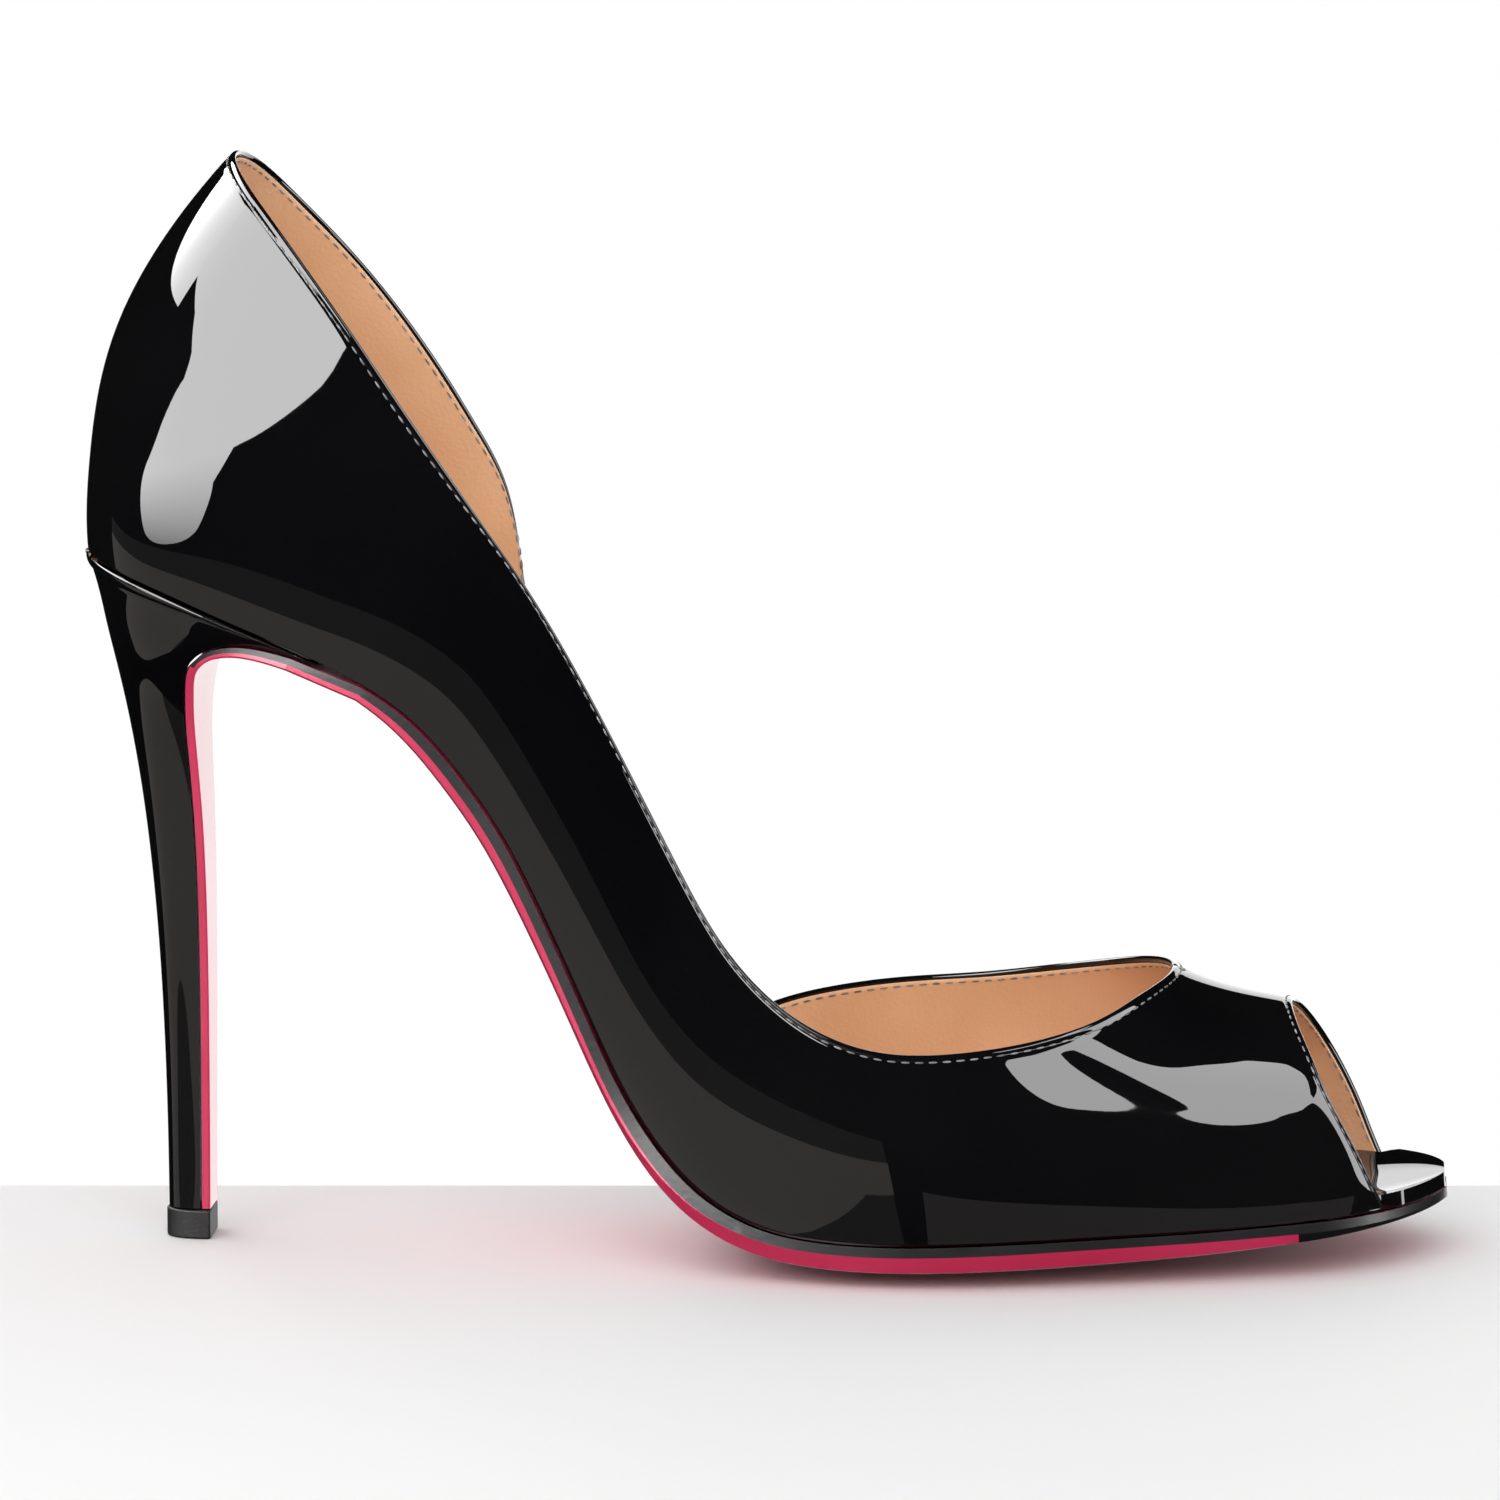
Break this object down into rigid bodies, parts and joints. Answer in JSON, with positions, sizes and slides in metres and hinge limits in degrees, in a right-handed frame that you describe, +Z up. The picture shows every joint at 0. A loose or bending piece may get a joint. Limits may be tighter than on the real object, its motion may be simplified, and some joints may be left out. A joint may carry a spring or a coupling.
{
  "type": "peep toe pump",
  "caption": "Right-foot peep toe pump in black patent leather with a slim high heel, a low cut inner side and a lacquered leather sole.",
  "frame": {"origin": "on the floor, at the middle of the heel's tip", "axes": "+X towards the toe, +Y towards the inner (big toe) side, +Z up"},
  "size_m": [0.2223, 0.0791, 0.1785],
  "materials": {
    "patent": "black patent leather, mirror gloss",
    "lacquered_sole": "raspberry-crimson lacquer, satin gloss",
    "lining": "natural tan, matt",
    "tip": "hard black rubber, satin"
  },
  "bodies": {
    "root": {"upper": "patent", "outsole": "lacquered_sole", "insole": "patent", "sock": "lining", "heel": "patent", "top_lift": "tip"}
  },
  "joints": []
}
